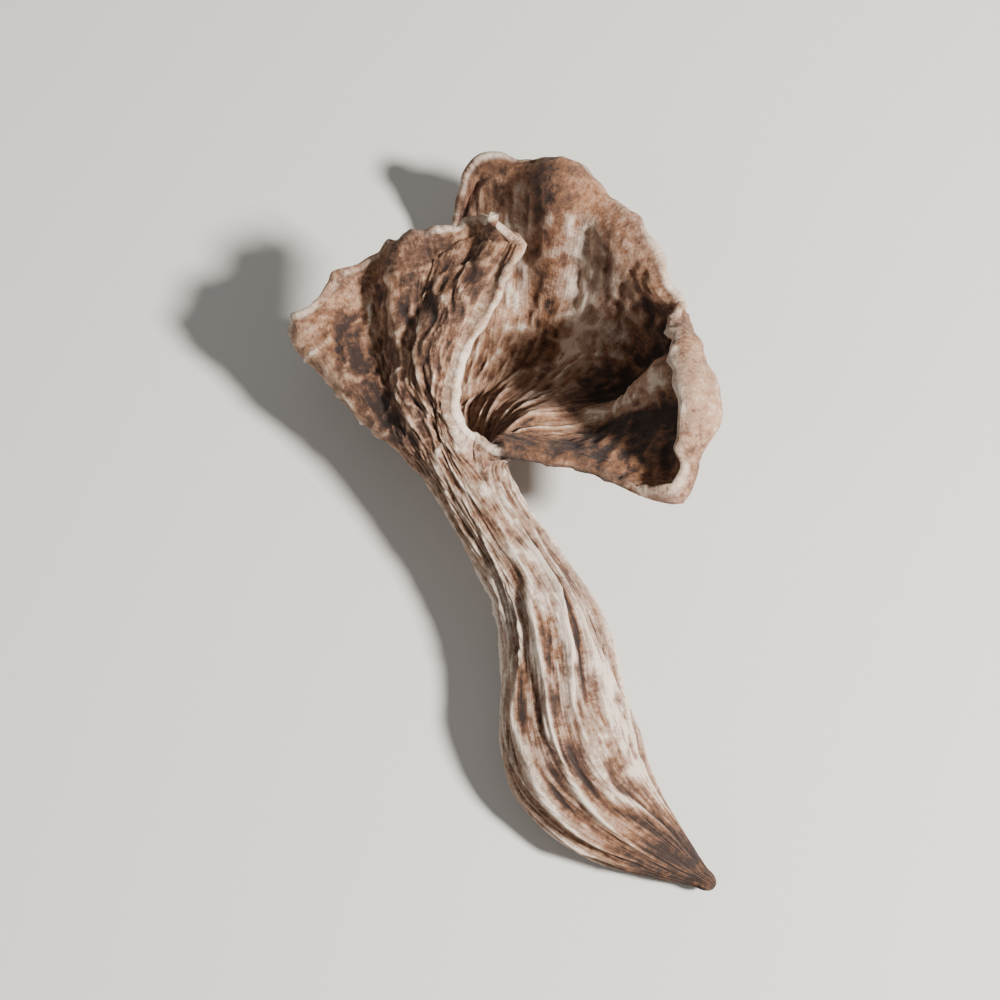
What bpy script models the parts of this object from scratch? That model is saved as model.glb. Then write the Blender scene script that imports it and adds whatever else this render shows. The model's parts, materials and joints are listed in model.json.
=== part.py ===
"""One dried black trumpet mushroom, lying on its side: a hollow, ribbed stem that opens into a crumpled funnel.

The fruit body is a single thin sheet that grew as a tube, so it is one solid. Its mid-surface is lofted:
ovals up the stem, then a funnel that has split open down one side, from the throat to the margin, with a
rolled lip round its whole free edge. The skins lie half a wall to either side of that mid-surface, and
the ribs of the shrivelled skin stand on the outer one.
"""

import math

import bpy
import numpy as np

MM = 0.001

# Driving dimensions, in millimetres. The throat lies near the origin until the last step centres the part.
WALL = 0.64
RIB_HEIGHT = 0.34
RIB_COUNT = 13
RIB_TWIST = 0.9
FOLD_HEIGHT = 0.40
RUFFLE_HEIGHT = 0.30
GROUND_SOFTNESS = 0.3
CRUMPLE_SEED = 7

# The mesh: how finely the sheet is sampled, and how many rings of the base are solid.
COLUMNS = 84
STEM_ROWS = 13
FUNNEL_ROWS = 12
LIP_ROWS = 4
SOLID_ROWS = 2

# Where the throat and the margin come along the sheet, from 0 at the base to 1 at the rim of the lip.
THROAT_SHARE = 0.45
MARGIN_SHARE = 0.85

# The coarse cage that the funnel is sampled from, and how often it is relaxed.
CAGE_COLUMNS = 40
CAGE_ROWS = 10
RELAX_STEPS = 6

# How far the funnel keeps the stem's direction above the throat, and how its two edges part at the split.
THROAT_RISE = 1.2
SPLIT_SPREAD = 1.0
SPLIT_REACH = 0.05

# Smoothing: along the sheet at the throat, round it below the split, and of the lip in the split's root.
# Each reach is a share of the round.
EASE_STEPS = 5
SEAM_REACH = 0.10
SEAM_STEPS = 10
WEB_REACH = 0.15
WEB_STEPS = 8

# How far the rounded rim stands past the last ring of the lip, as a share of the wall.
BEAD_SHARE = 0.3

# The stem's axis from its pointed base to the throat: x, y, z, half width, half thickness.
STEM_STATIONS = (
    (9.35, -14.95, 0.85, 0.10, 0.10),
    (7.80, -13.9, 1.15, 0.85, 0.75),
    (6.00, -12.5, 1.40, 1.60, 1.05),
    (4.55, -10.4, 1.60, 2.30, 1.30),
    (4.15, -8.1, 1.90, 1.90, 1.40),
    (3.90, -6.0, 2.30, 1.65, 1.40),
    (3.10, -4.0, 2.80, 1.20, 1.35),
    (1.75, -2.0, 3.20, 0.86, 0.92),
    (0.70, -0.4, 3.55, 0.84, 0.90),
    (0.20, 0.8, 3.90, 0.90, 0.92),
)
THROAT_TURN = 85

# The funnel from one side of its split round to the other: share of the way, waist of the wall (x, y, z)
# and margin (x, y, z).
FUNNEL = (
    # near side of the split, which ends in the apex, and the flap's level top edge
    (0.000, (-0.35, 3.3, 6.6), (2.3, 8.0, 9.1)),
    (0.060, (-0.8, 3.7, 6.5), (0.9, 8.0, 8.7)),
    (0.130, (-1.5, 3.8, 5.9), (-1.2, 7.7, 7.8)),
    (0.200, (-2.3, 3.5, 5.1), (-3.3, 7.3, 6.5)),
    # the flap's tip and the fold under it
    (0.255, (-3.0, 3.0, 4.5), (-4.9, 6.2, 5.4)),
    (0.300, (-3.5, 2.7, 3.7), (-5.5, 5.8, 4.4)),
    (0.345, (-2.9, 3.2, 2.7), (-4.6, 6.8, 2.9)),
    # back wall, then the far wall with its corner
    (0.400, (-1.6, 4.3, 0.9), (-2.6, 8.6, 1.1)),
    (0.470, (-0.2, 5.6, -0.2), (-0.2, 10.7, 1.1)),
    (0.540, (1.2, 7.0, -0.8), (1.1, 13.3, 3.8)),
    (0.610, (2.8, 7.8, -0.8), (3.6, 12.6, 4.9)),
    (0.680, (4.4, 7.1, -0.1), (5.9, 11.1, 4.6)),
    (0.750, (5.7, 5.8, 1.1), (7.8, 8.8, 4.4)),
    (0.810, (6.4, 4.5, 1.6), (8.6, 6.4, 4.7)),
    # right wall up to the hook, and the low side of the split
    (0.870, (6.8, 3.3, 2.3), (9.3, 4.6, 6.1)),
    (0.930, (6.3, 1.8, 3.2), (9.4, 2.3, 6.6)),
    (1.000, (4.0, 0.5, 5.0), (8.5, -0.8, 5.9)),
)

# The lip round the free edge: place, length past the edge, and the angle by which it rolls outwards. The
# place runs 0 to 1 up the near side of the split, 1 to 2 round the margin and 2 to 3 back down the split.
LIP = (
    (0.00, 0.45, 0),
    (0.25, 0.3, 0),
    (0.40, 0.5, 20),
    (0.80, 0.6, 30),
    (1.00, 0.9, 30),
    (1.10, 1.0, 15),
    (1.20, 1.1, 20),
    (1.28, 1.2, 40),
    (1.36, 1.0, 30),
    (1.45, 0.8, 0),
    (1.54, 1.1, 10),
    (1.61, 1.3, 90),
    (1.70, 1.2, 50),
    (1.80, 1.0, 0),
    (1.87, 1.6, -120),
    (1.94, 1.9, -150),
    (2.00, 1.5, -120),
    (2.20, 0.8, -40),
    (2.60, 0.5, 0),
    (2.80, 0.45, 0),
)

# Creases pressed into the funnel: start (u, v), end (u, v), half width as a share of the round, and height,
# outwards where positive.
CREASES = (
    # deep furrow on the flap, the fold below it, and a shallow furrow nearer the apex
    (0.213, 0.68, 0.230, 0.93, 0.034, -0.80),
    (0.282, 0.68, 0.285, 0.95, 0.036, 0.60),
    (0.120, 0.70, 0.105, 0.88, 0.030, -0.30),
    # pleats of the far wall
    (0.660, 0.68, 0.610, 0.92, 0.040, -0.45),
    (0.740, 0.66, 0.720, 0.90, 0.040, -0.50),
    (0.560, 0.70, 0.520, 0.95, 0.036, 0.35),
    # inner fold beside the hook, and the pocket next to it
    (0.872, 0.71, 0.885, 0.86, 0.032, -1.15),
    (0.825, 0.72, 0.835, 0.88, 0.032, 0.70),
)


def smooth_step(x, low, high):
    t = np.clip((x - low) / (high - low), 0.0, 1.0)
    return t * t * (3.0 - 2.0 * t)


def unit(vectors):
    return vectors / np.linalg.norm(vectors, axis=-1, keepdims=True)


def across(a, b):
    """The part of each vector in a that is square to the unit vector in b."""
    return a - (a * b).sum(axis=-1, keepdims=True) * b


def between(start, end, start_slope, end_slope, t):
    """A cubic from start to end with the given slopes, for t from 0 to 1."""
    return (
        (2 * t**3 - 3 * t**2 + 1) * start
        + (t**3 - 2 * t**2 + t) * start_slope
        + (3 * t**2 - 2 * t**3) * end
        + (t**3 - t**2) * end_slope
    )


def through_points(knots, points, at, period=None):
    """Values on the smooth curve through the given points, whose knots may be unevenly spaced."""
    knots = np.asarray(knots, float)
    points = np.asarray(points, float)
    if period:
        knots = np.concatenate([knots[-2:] - period, knots, knots[:2] + period])
        points = np.concatenate([points[-2:], points, points[:2]])
    slopes = np.gradient(points, knots, axis=0)
    i = np.clip(np.searchsorted(knots, at, side="right") - 1, 0, len(knots) - 2)
    column = (-1,) + (1,) * (points.ndim - 1)
    span = (knots[i + 1] - knots[i]).reshape(column)
    t = (at - knots[i]).reshape(column) / span
    return between(points[i], points[i + 1], span * slopes[i], span * slopes[i + 1], t)


def stem_rings(u, rows):
    """Ovals round the stem's axis, from the base to the throat."""
    stations = np.array(STEM_STATIONS)
    steps = np.linalg.norm(np.diff(stations[:, :3], axis=0), axis=1)
    knots = np.concatenate([[0.0], np.cumsum(steps)])
    spine = through_points(knots, stations, np.linspace(0.0, knots[-1], rows))
    along = unit(np.gradient(spine[:, :3], axis=0))
    right = unit(np.cross(along, (0.0, 0.0, 1.0)))
    up = np.cross(right, along)
    angle = 2 * math.pi * u + math.radians(THROAT_TURN)
    sideways = np.cos(angle)[None, :, None] * (right * spine[:, 3:4])[:, None]
    lift = np.sin(angle)[None, :, None] * (up * spine[:, 4:5])[:, None]
    return spine[:, None, :3] + sideways + lift


def funnel_rings(u, rows):
    """The funnel from the throat to its margin, sampled from a coarse cage that has been relaxed."""
    marks = np.array([(share, *waist, *edge) for share, waist, edge in FUNNEL])
    cage_u = np.linspace(0.0, 1.0, CAGE_COLUMNS + 1)
    values = through_points(marks[:, 0], marks[:, 1:], cage_u)
    waist, edge = values[:, :3], values[:, 3:]
    below, throat = stem_rings(cage_u, 2 * CAGE_ROWS)[-2:]
    reach = np.linalg.norm(waist - throat, axis=1, keepdims=True)
    rise = unit(throat - below)
    spread = SPLIT_SPREAD * np.exp(-((np.minimum(cage_u, 1 - cage_u) / SPLIT_REACH) ** 2))[:, None]
    first = unit(rise + spread * unit(across(waist - throat, rise))) * (THROAT_RISE + 0.7 * reach)
    middle = (edge - throat) / 2
    last = (edge - waist) * 1.5 - middle / 2
    steps = np.linspace(0.0, 2.0, CAGE_ROWS + 1)[:, None, None]
    lower = between(throat, waist, first, middle, np.minimum(steps, 1.0))
    upper = between(waist, edge, middle, last, np.maximum(steps - 1.0, 0.0))
    cage = np.where(steps <= 1.0, lower, upper)
    ease = smooth_step(np.minimum(cage_u, 1 - cage_u), 0.0, 0.12)[None, :, None]
    ease = 0.5 * ease * smooth_step(steps, 0.0, 0.8) * smooth_step(2.0 - steps, 0.0, 0.5)
    for _ in range(RELAX_STEPS):
        neighbours = cage[1:-1, :-2] + cage[1:-1, 2:] + cage[:-2, 1:-1] + cage[2:, 1:-1]
        cage[1:-1, 1:-1] += ease[1:-1, 1:-1] * (neighbours / 4 - cage[1:-1, 1:-1])
    columns = through_points(cage_u, cage.transpose(1, 0, 2), u).transpose(1, 0, 2)
    return through_points(np.linspace(0.0, 1.0, CAGE_ROWS + 1), columns, np.linspace(0.0, 1.0, rows + 1))


class Sheet:
    """The mid-surface as points and triangles, with each point's place round (u) and along (v) the tube.

    The first rows by columns + 1 points are the stem and the funnel. The rest is the lip, ring by ring.
    """

    def __init__(self, columns, stem_rows, funnel_rows, lip_rows):
        u = np.linspace(0.0, 1.0, columns + 1)
        funnel = funnel_rings(u, funnel_rows)
        grid = np.concatenate([stem_rings(u, stem_rows), funnel[1:]])
        split, margin = stem_rows - 1, len(grid) - 1
        for _ in range(EASE_STEPS):
            beside = grid[split - 3 : split + 2] + grid[split - 1 : split + 4]
            grid[split - 2 : split + 3] += 0.5 * (beside / 2 - grid[split - 2 : split + 3])
        grid[: split + 1, [0, -1]] = grid[: split + 1, [0, -1]].mean(axis=1, keepdims=True)
        seam = 0.5 * np.exp(-((np.minimum(u, 1 - u)[:-1] / SEAM_REACH) ** 2))[None, :, None]
        for _ in range(SEAM_STEPS):
            rings = grid[split - 3 : split + 1, :-1]
            rings += seam * (np.roll(rings, 1, axis=1) / 2 + np.roll(rings, -1, axis=1) / 2 - rings)
            grid[split - 3 : split + 1, -1] = rings[:, 0]
        self.columns, self.margin = columns, margin
        self.ids = np.arange(grid.shape[0] * grid.shape[1]).reshape(grid.shape[:2])
        self.ids[: split + 1, -1] = self.ids[: split + 1, 0]
        stem_v = np.linspace(0.0, THROAT_SHARE, stem_rows)
        funnel_v = np.linspace(THROAT_SHARE, MARGIN_SHARE, funnel_rows + 1)[1:]
        v = np.concatenate([stem_v, funnel_v])
        self.points = grid.reshape(-1, 3)
        self.u = np.broadcast_to(u, self.ids.shape).ravel()
        self.v = np.broadcast_to(v[:, None], self.ids.shape).ravel()
        self.faces = [strip(a, b) for a, b in zip(self.ids[:-1], self.ids[1:])]

        rise = np.arange(split, margin)
        edge = np.concatenate([self.ids[rise, 0], self.ids[margin], self.ids[rise[:0:-1], -1]])
        within = np.concatenate([self.ids[rise, 1], self.ids[margin - 1], self.ids[rise[:0:-1], -2]])
        within[0] = self.ids[split - 1, 0]
        share = (rise - split) / (margin - split)
        place = np.concatenate([share, 1.0 + u, 3.0 - share[:0:-1]])
        self.add_lip(edge, within, place, lip_rows)

    def add_lip(self, edge, within, place, lip_rows):
        """Rings that carry the sheet past its free edge and roll it out, or in where the angle is negative."""
        marks = np.array(LIP)
        values = through_points(marks[:, 0], marks[:, 1:], place, period=3.0)
        length, roll = values[:, :1], np.radians(values[:, 1:])
        web = 0.5 * np.exp(-((np.minimum(place, 3.0 - place) / WEB_REACH) ** 2))[:, None]
        roll = np.where(np.abs(roll) < 1e-3, 1e-3, roll)
        start = self.points[edge]
        tangent = unit(np.roll(start, -1, axis=0) - np.roll(start, 1, axis=0))
        heading = unit(start - self.points[within])
        for _ in range(3):
            heading = unit(np.roll(heading, 1, axis=0) + 2 * heading + np.roll(heading, -1, axis=0))
        heading = unit(across(heading, tangent))
        side = np.cross(heading, tangent)
        ring = edge
        for k in range(1, lip_rows + 1):
            share = k / lip_rows
            bend = roll * share
            points = start + (np.sin(bend) * heading + (1 - np.cos(bend)) * side) * length / roll
            for _ in range(WEB_STEPS * k):
                points += web * (np.roll(points, 1, axis=0) / 2 + np.roll(points, -1, axis=0) / 2 - points)
            last = self.points[ring]
            fresh = len(self.points) + np.arange(len(edge))
            self.points = np.concatenate([self.points, points])
            self.u = np.concatenate([self.u, self.u[edge]])
            past = share * (1.0 - MARGIN_SHARE) * smooth_step(self.v[edge], MARGIN_SHARE - 0.1, MARGIN_SHARE)
            self.v = np.concatenate([self.v, self.v[edge] + past])
            self.faces.append(strip(np.append(ring, ring[0]), np.append(fresh, fresh[0])))
            ring = fresh
        self.rim = ring
        self.rim_out = unit(points - last)
        self.faces = np.concatenate(self.faces)

    def normals(self):
        a, b, c = (self.points[self.faces[:, k]] for k in range(3))
        weighted = np.cross(b - a, c - a)
        total = np.zeros_like(self.points)
        for k in range(3):
            np.add.at(total, self.faces[:, k], weighted)
        return total / np.maximum(np.linalg.norm(total, axis=1, keepdims=True), 1e-12)


def strip(lower, upper):
    """Triangles between two rows of point numbers, facing out, each square split the same way."""
    a, b, c, d = lower[:-1], lower[1:], upper[1:], upper[:-1]
    return np.concatenate([np.stack([a, d, c], axis=1), np.stack([a, c, b], axis=1)])


def waves(u, v, seed, bands):
    """Smooth random relief, closed round the tube. Each band is a count round, a count along and a height."""
    draw = np.random.default_rng(seed)
    total = 0.0
    for around, along, height in bands:
        for turn in (-1, 1):
            phase = draw.uniform(0.0, 2 * math.pi)
            total = total + height * np.cos(2 * math.pi * (turn * around * u + along * v) + phase)
    return total


def creases(u, v):
    """Height of the named creases, each a soft ridge or furrow along a line."""
    total = np.zeros_like(u)
    for start_u, start_v, end_u, end_v, half_width, height in CREASES:
        share = np.clip((v - start_v) / (end_v - start_v), 0.0, 1.0)
        offset = (u - start_u - share * (end_u - start_u)) / half_width
        reach = smooth_step(v, start_v - 0.14, start_v + 0.08) * (1 - smooth_step(v, end_v - 0.04, end_v + 0.12))
        total += height * np.exp(-(offset**2)) * reach
    return total


def crest(phase):
    """A sharp ridge at each whole number, with a broad rounded furrow between."""
    return 1.0 - np.abs(np.sin(math.pi * phase)) ** 0.8


def above_ground(height):
    """Heights pressed flat at zero, with a soft turn just above it."""
    soft = (height + GROUND_SOFTNESS) ** 2 / (4 * GROUND_SOFTNESS)
    return np.where(height > GROUND_SOFTNESS, height, np.where(height < -GROUND_SOFTNESS, 0.0, soft))


def skins(body):
    """Points of the outer skin, with its ribs, and of the inner skin."""
    u, v = body.u, body.v
    normals = body.normals()
    warp = waves(u, v, CRUMPLE_SEED + 2, ((1, 0.6, 0.16), (2, 1.0, 0.10), (3, 2.6, 0.13), (5, 4.1, 0.07)))
    rib_room = smooth_step(v, 0.0, 0.12) * (1 - 0.75 * smooth_step(v, 0.45, 0.80))
    rib_room = rib_room * (1 - 0.9 * np.exp(-(((v - THROAT_SHARE) / 0.07) ** 2)))
    from_split = np.minimum(u, 1 - u) / 0.035
    rib_room = rib_room * (1 - np.exp(-(from_split**2)) * smooth_step(v, THROAT_SHARE - 0.08, THROAT_SHARE))
    ribs = RIB_HEIGHT * crest(RIB_COUNT * u + RIB_TWIST * v + warp) * rib_room
    outer = body.points + normals * (WALL / 2 + ribs)[:, None]
    inner = body.points - normals * (WALL / 2)
    outer[:, 2] = np.maximum(outer[:, 2], 0.0)
    return outer, inner


def fruit_body(columns, stem_rows, funnel_rows, lip_rows):
    """The sheet with its crumpling, and the points of its outer and inner skins."""
    body = Sheet(columns, stem_rows, funnel_rows, lip_rows)
    u, v = body.u, body.v
    folds = waves(u, v, CRUMPLE_SEED, ((2, 1.3, 0.3), (3, 2.1, 0.25), (5, 2.7, 0.18)))
    ruffles = waves(u, v, CRUMPLE_SEED + 1, ((9, 0.8, 0.45), (14, 1.1, 0.30)))
    crumple = FOLD_HEIGHT * folds * smooth_step(v, 0.05, 0.40) * (0.4 + 0.6 * smooth_step(v, 0.45, 0.60))
    crumple = crumple + RUFFLE_HEIGHT * ruffles * smooth_step(v, 0.62, 0.95)
    crumple = crumple + creases(u, v)
    crumple = crumple * (1 - 0.9 * np.exp(-((np.minimum(u, 1 - u) / 0.09) ** 2) - ((v - 0.50) / 0.10) ** 2))
    body.points = body.points + body.normals() * crumple[:, None]
    body.points[:, 2] = WALL / 2 + above_ground(body.points[:, 2] - WALL / 2)
    outer, inner = skins(body)
    return body, outer, inner


def closed_solid(body, outer, inner, solid_rows):
    """Points and triangles of the solid between the two skins, closed at the base and round the lip."""
    count = len(outer)
    hollow = (body.faces < body.ids[solid_rows, 0]).any(axis=1)
    hollow_faces = body.faces[~hollow][:, ::-1] + count
    rim = body.rim
    bead = (outer[rim] + inner[rim]) / 2 + body.rim_out * WALL * BEAD_SHARE
    bead_ids = 2 * count + np.arange(len(rim))
    tip = outer[body.ids[0, :-1]].mean(axis=0) + (body.points[body.ids[0, 0]] - body.points[body.ids[1, 0]]) * 0.4
    floor = inner[body.ids[solid_rows, :-1]].mean(axis=0)
    tip_id, floor_id = 2 * count + len(rim), 2 * count + len(rim) + 1
    first, last = body.ids[0], body.ids[solid_rows] + count
    loop = np.append(rim, rim[0])
    faces = [
        body.faces,
        hollow_faces,
        strip(loop, np.append(bead_ids, bead_ids[0])),
        strip(np.append(bead_ids, bead_ids[0]), loop + count),
        np.stack([np.full(body.columns, tip_id), first[:-1], first[1:]], axis=1),
        np.stack([np.full(body.columns, floor_id), last[1:], last[:-1]], axis=1),
    ]
    points = np.concatenate([outer, inner, bead, tip[None], floor[None]])
    faces = np.concatenate(faces)
    used = np.unique(faces)
    fresh = np.zeros(len(points), int)
    fresh[used] = np.arange(len(used))
    return points[used], fresh[faces]


def skin_material():
    material = bpy.data.materials.new("dried_flesh")
    material.use_nodes = True
    shader = material.node_tree.nodes["Principled BSDF"]
    shader.inputs["Base Color"].default_value = (0.20, 0.135, 0.10, 1.0)
    shader.inputs["Roughness"].default_value = 0.75
    shader.inputs["Metallic"].default_value = 0.0
    return material


def main():
    for item in list(bpy.data.objects):
        bpy.data.objects.remove(item)
    body, outer, inner = fruit_body(COLUMNS, STEM_ROWS, FUNNEL_ROWS, LIP_ROWS)
    points, faces = closed_solid(body, outer, inner, SOLID_ROWS)
    low, high = points.min(axis=0), points.max(axis=0)
    points = points - np.array([(low[0] + high[0]) / 2, (low[1] + high[1]) / 2, low[2]])
    mesh = bpy.data.meshes.new("black_trumpet")
    mesh.from_pydata((points * MM).tolist(), [], faces.tolist())
    mesh.shade_smooth()
    mesh.materials.append(skin_material())
    fruit = bpy.data.objects.new("black_trumpet", mesh)
    bpy.context.scene.collection.objects.link(fruit)


main()
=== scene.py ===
"""The black trumpet mushroom's looks.

The sheet is the solid's own, sampled finer, with its wrinkles, fibres and colours. The mushroom's lengths
are in millimetres until its mesh is made, and the studio's are in metres.
"""

import json
import math

import bpy
import numpy as np
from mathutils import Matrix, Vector

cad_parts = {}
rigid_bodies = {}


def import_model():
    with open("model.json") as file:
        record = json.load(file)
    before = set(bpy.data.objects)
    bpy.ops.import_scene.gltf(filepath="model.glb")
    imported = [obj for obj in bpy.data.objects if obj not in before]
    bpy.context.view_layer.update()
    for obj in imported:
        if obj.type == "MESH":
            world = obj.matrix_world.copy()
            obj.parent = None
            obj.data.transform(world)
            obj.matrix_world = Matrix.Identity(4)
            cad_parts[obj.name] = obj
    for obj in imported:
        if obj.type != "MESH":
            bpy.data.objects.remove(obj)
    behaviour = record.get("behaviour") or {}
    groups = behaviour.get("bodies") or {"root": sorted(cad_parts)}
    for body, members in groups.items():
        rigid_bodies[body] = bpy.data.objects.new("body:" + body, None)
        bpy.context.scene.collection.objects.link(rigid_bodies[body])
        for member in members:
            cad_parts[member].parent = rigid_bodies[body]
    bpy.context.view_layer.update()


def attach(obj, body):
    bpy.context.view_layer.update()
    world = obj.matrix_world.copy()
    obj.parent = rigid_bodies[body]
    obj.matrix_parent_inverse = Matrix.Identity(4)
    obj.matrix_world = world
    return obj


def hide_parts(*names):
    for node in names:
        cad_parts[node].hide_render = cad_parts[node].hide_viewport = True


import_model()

MM = 0.001

# The sheet's driving dimensions, in millimetres.
WALL = 0.64
RIB_HEIGHT = 0.34
RIB_COUNT = 13
RIB_TWIST = 0.9
FOLD_HEIGHT = 0.40
RUFFLE_HEIGHT = 0.30
GROUND_SOFTNESS = 0.3
CRUMPLE_SEED = 7

# How finely the sheet is first sampled, before it is refined.
COLUMNS = 84
STEM_ROWS = 13
FUNNEL_ROWS = 12
LIP_ROWS = 4
SOLID_ROWS = 2

# Where the throat and the margin come along the sheet, from 0 at the base to 1 at the rim of the lip.
THROAT_SHARE = 0.45
MARGIN_SHARE = 0.85

# The coarse cage that the funnel is sampled from, and how often it is relaxed.
CAGE_COLUMNS = 40
CAGE_ROWS = 10
RELAX_STEPS = 6

# How far the funnel keeps the stem's direction above the throat, and how its two edges part at the split.
THROAT_RISE = 1.2
SPLIT_SPREAD = 1.0
SPLIT_REACH = 0.05

# Smoothing: along the sheet at the throat, round it below the split, and of the lip in the split's root.
# Each reach is a share of the round.
EASE_STEPS = 5
SEAM_REACH = 0.10
SEAM_STEPS = 10
WEB_REACH = 0.15
WEB_STEPS = 8

# How far the rounded rim stands past the last ring of the lip, as a share of the wall.
BEAD_SHARE = 0.3

# The stem's axis from its pointed base to the throat: x, y, z, half width, half thickness.
STEM_STATIONS = (
    (9.35, -14.95, 0.85, 0.10, 0.10),
    (7.80, -13.9, 1.15, 0.85, 0.75),
    (6.00, -12.5, 1.40, 1.60, 1.05),
    (4.55, -10.4, 1.60, 2.30, 1.30),
    (4.15, -8.1, 1.90, 1.90, 1.40),
    (3.90, -6.0, 2.30, 1.65, 1.40),
    (3.10, -4.0, 2.80, 1.20, 1.35),
    (1.75, -2.0, 3.20, 0.86, 0.92),
    (0.70, -0.4, 3.55, 0.84, 0.90),
    (0.20, 0.8, 3.90, 0.90, 0.92),
)
# How far round the stem the seam lies, in degrees from its right side.
THROAT_TURN = 85

# The funnel from one side of its split round to the other: share of the way, waist of the wall (x, y, z)
# and margin (x, y, z).
FUNNEL = (
    # near side of the split, which ends in the apex, and the flap's level top edge
    (0.000, (-0.35, 3.3, 6.6), (2.3, 8.0, 9.1)),
    (0.060, (-0.8, 3.7, 6.5), (0.9, 8.0, 8.7)),
    (0.130, (-1.5, 3.8, 5.9), (-1.2, 7.7, 7.8)),
    (0.200, (-2.3, 3.5, 5.1), (-3.3, 7.3, 6.5)),
    # the flap's tip and the fold under it
    (0.255, (-3.0, 3.0, 4.5), (-4.9, 6.2, 5.4)),
    (0.300, (-3.5, 2.7, 3.7), (-5.5, 5.8, 4.4)),
    (0.345, (-2.9, 3.2, 2.7), (-4.6, 6.8, 2.9)),
    # back wall, then the far wall with its corner
    (0.400, (-1.6, 4.3, 0.9), (-2.6, 8.6, 1.1)),
    (0.470, (-0.2, 5.6, -0.2), (-0.2, 10.7, 1.1)),
    (0.540, (1.2, 7.0, -0.8), (1.1, 13.3, 3.8)),
    (0.610, (2.8, 7.8, -0.8), (3.6, 12.6, 4.9)),
    (0.680, (4.4, 7.1, -0.1), (5.9, 11.1, 4.6)),
    (0.750, (5.7, 5.8, 1.1), (7.8, 8.8, 4.4)),
    (0.810, (6.4, 4.5, 1.6), (8.6, 6.4, 4.7)),
    # right wall up to the hook, and the low side of the split
    (0.870, (6.8, 3.3, 2.3), (9.3, 4.6, 6.1)),
    (0.930, (6.3, 1.8, 3.2), (9.4, 2.3, 6.6)),
    (1.000, (4.0, 0.5, 5.0), (8.5, -0.8, 5.9)),
)

# The lip round the free edge: place, length past the edge, and the angle by which it rolls outwards. The
# place runs 0 to 1 up the near side of the split, 1 to 2 round the margin and 2 to 3 back down the split.
LIP = (
    (0.00, 0.45, 0),
    (0.25, 0.3, 0),
    (0.40, 0.5, 20),
    (0.80, 0.6, 30),
    (1.00, 0.9, 30),
    (1.10, 1.0, 15),
    (1.20, 1.1, 20),
    (1.28, 1.2, 40),
    (1.36, 1.0, 30),
    (1.45, 0.8, 0),
    (1.54, 1.1, 10),
    (1.61, 1.3, 90),
    (1.70, 1.2, 50),
    (1.80, 1.0, 0),
    (1.87, 1.6, -120),
    (1.94, 1.9, -150),
    (2.00, 1.5, -120),
    (2.20, 0.8, -40),
    (2.60, 0.5, 0),
    (2.80, 0.45, 0),
)

# Creases pressed into the funnel: start (u, v), end (u, v), half width as a share of the round, and height,
# outwards where positive.
CREASES = (
    # deep furrow on the flap, the fold below it, and a shallow furrow nearer the apex
    (0.213, 0.68, 0.230, 0.93, 0.034, -0.80),
    (0.282, 0.68, 0.285, 0.95, 0.036, 0.60),
    (0.120, 0.70, 0.105, 0.88, 0.030, -0.30),
    # pleats of the far wall
    (0.660, 0.68, 0.610, 0.92, 0.040, -0.45),
    (0.740, 0.66, 0.720, 0.90, 0.040, -0.50),
    (0.560, 0.70, 0.520, 0.95, 0.036, 0.35),
    # inner fold beside the hook, and the pocket next to it
    (0.872, 0.71, 0.885, 0.86, 0.032, -1.15),
    (0.825, 0.72, 0.835, 0.88, 0.032, 0.70),
)


def smooth_step(x, low, high):
    t = np.clip((x - low) / (high - low), 0.0, 1.0)
    return t * t * (3.0 - 2.0 * t)


def unit(vectors):
    return vectors / np.linalg.norm(vectors, axis=-1, keepdims=True)


def across(a, b):
    """The part of each vector in a that is square to the unit vector in b."""
    return a - (a * b).sum(axis=-1, keepdims=True) * b


def between(start, end, start_slope, end_slope, t):
    """A cubic from start to end with the given slopes, for t from 0 to 1."""
    return (
        (2 * t**3 - 3 * t**2 + 1) * start
        + (t**3 - 2 * t**2 + t) * start_slope
        + (3 * t**2 - 2 * t**3) * end
        + (t**3 - t**2) * end_slope
    )


def through_points(knots, points, at, period=None):
    """Values on the smooth curve through the given points, whose knots may be unevenly spaced."""
    knots = np.asarray(knots, float)
    points = np.asarray(points, float)
    if period:
        knots = np.concatenate([knots[-2:] - period, knots, knots[:2] + period])
        points = np.concatenate([points[-2:], points, points[:2]])
    slopes = np.gradient(points, knots, axis=0)
    i = np.clip(np.searchsorted(knots, at, side="right") - 1, 0, len(knots) - 2)
    column = (-1,) + (1,) * (points.ndim - 1)
    span = (knots[i + 1] - knots[i]).reshape(column)
    t = (at - knots[i]).reshape(column) / span
    return between(points[i], points[i + 1], span * slopes[i], span * slopes[i + 1], t)


def stem_rings(u, rows):
    """Ovals round the stem's axis, from the base to the throat."""
    stations = np.array(STEM_STATIONS)
    steps = np.linalg.norm(np.diff(stations[:, :3], axis=0), axis=1)
    knots = np.concatenate([[0.0], np.cumsum(steps)])
    spine = through_points(knots, stations, np.linspace(0.0, knots[-1], rows))
    along = unit(np.gradient(spine[:, :3], axis=0))
    right = unit(np.cross(along, (0.0, 0.0, 1.0)))
    up = np.cross(right, along)
    angle = 2 * math.pi * u + math.radians(THROAT_TURN)
    sideways = np.cos(angle)[None, :, None] * (right * spine[:, 3:4])[:, None]
    lift = np.sin(angle)[None, :, None] * (up * spine[:, 4:5])[:, None]
    return spine[:, None, :3] + sideways + lift


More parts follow.
